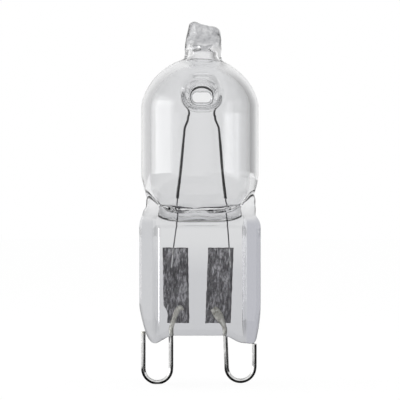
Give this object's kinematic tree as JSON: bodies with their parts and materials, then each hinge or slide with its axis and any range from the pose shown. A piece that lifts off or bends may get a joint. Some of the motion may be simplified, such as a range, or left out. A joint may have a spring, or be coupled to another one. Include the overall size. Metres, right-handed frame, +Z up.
{
  "type": "halogen capsule bulb",
  "caption": "Clear halogen capsule bulb: a domed quartz bulb pressed flat into a seal, with a coiled filament hung over a quartz post and bent wire loops as its base.",
  "frame": {"origin": "midway between the two base loops, level with the lowest point of the left one", "axes": "+Z up the bulb's axis to the exhaust tip, +X across the flat of the press seal, -Y the front"},
  "size_m": [0.0132, 0.0126, 0.0393],
  "materials": {
    "quartz": "clear, fire polished",
    "tungsten": "dark drawn wire, coiled",
    "inner_wire": "dark drawn wire",
    "foil": "rolled, crinkled foil",
    "loop_wire": "bright drawn wire"
  },
  "bodies": {
    "root": {"quartz_envelope": "quartz", "filament_coil": "tungsten", "inner_lead_left": "inner_wire", "inner_lead_right": "inner_wire", "foil_left": "foil", "foil_right": "foil", "outer_lead_left": "loop_wire", "outer_lead_right": "loop_wire"}
  },
  "joints": []
}
